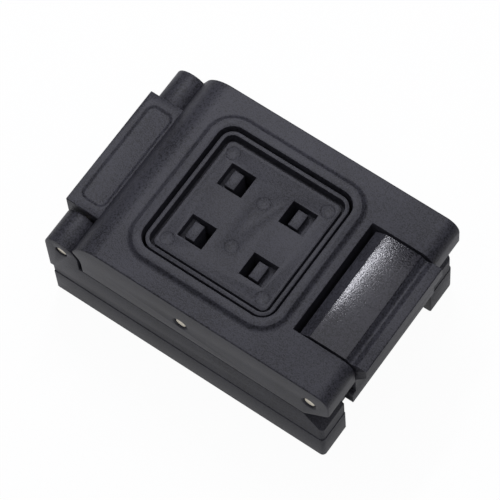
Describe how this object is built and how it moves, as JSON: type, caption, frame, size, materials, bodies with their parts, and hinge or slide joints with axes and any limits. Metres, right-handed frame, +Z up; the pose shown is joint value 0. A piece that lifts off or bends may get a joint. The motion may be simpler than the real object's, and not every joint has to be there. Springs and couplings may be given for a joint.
{
  "type": "ic test socket",
  "caption": "Clamshell test socket for a square chip: hinged lid with a sprung pressure pad and finger latch, on a base with a floating nest and contact grid.",
  "frame": {"origin": "middle of the four board inserts, on the base's underside", "axes": "+X towards the latch, +Y towards the far long side, +Z up from the board"},
  "size_m": [0.0517, 0.0332, 0.0226],
  "materials": {
    "moulded_plastic": "fine moulded texture",
    "nest_plastic": "machined satin",
    "pin_steel": "ground",
    "spring_wire": "drawn wire",
    "insert_brass": "turned",
    "gold_plate": "gold plated"
  },
  "bodies": {
    "base_unit": {"base": "moulded_plastic", "contact_holder": "nest_plastic", "guide_plate": "nest_plastic", "retainer_plate": "nest_plastic", "contacts": "gold_plate", "unit_dowels": "pin_steel", "plate_screws": "pin_steel", "nest_screws": "pin_steel", "board_inserts": "insert_brass", "hinge_pin": "pin_steel", "nest_springs": "spring_wire"},
    "lid_unit": {"lid": "moulded_plastic", "pad_pin": "pin_steel", "latch_pin": "pin_steel", "lid_springs": "spring_wire", "latch_springs": "spring_wire"},
    "latch_unit": {"latch": "moulded_plastic"},
    "pad_unit": {"pressure_pad": "moulded_plastic", "pusher_springs": "spring_wire"},
    "pusher_unit": {"pusher_block": "moulded_plastic"},
    "nest_unit": {"chip_nest": "nest_plastic"}
  },
  "joints": [
    {"name": "lid_hinge", "type": "hinge", "parent": "base_unit", "child": "lid_unit", "pos_m": [-0.0217, 0, 0.01505], "axis": [0, -1, 0], "range_deg": [0, 100], "deforming": ["lid_springs"]},
    {"name": "latch_pivot", "type": "hinge", "parent": "lid_unit", "child": "latch_unit", "pos_m": [0.0219, 0, 0.0176], "axis": [0, -1, 0], "range_deg": [0, 20], "stiffness_Nm_per_rad": 0.001, "springref_deg": -9.74, "deforming": ["latch_springs"]},
    {"name": "pad_tilt", "type": "hinge", "parent": "lid_unit", "child": "pad_unit", "pos_m": [-0.0004, 0, 0.0165], "axis": [0, 1, 0], "range_deg": [-2, 2]},
    {"name": "pusher_slide", "type": "slide", "parent": "pad_unit", "child": "pusher_unit", "axis": [0, 0, 1], "range_m": [0, 0.0006], "stiffness_N_per_m": 20, "springref_m": -0.002, "deforming": ["pusher_springs"]},
    {"name": "nest_slide", "type": "slide", "parent": "base_unit", "child": "nest_unit", "axis": [0, 0, -1], "range_m": [0, 0.0006], "stiffness_N_per_m": 20, "springref_m": -0.002, "deforming": ["nest_springs"]}
  ]
}
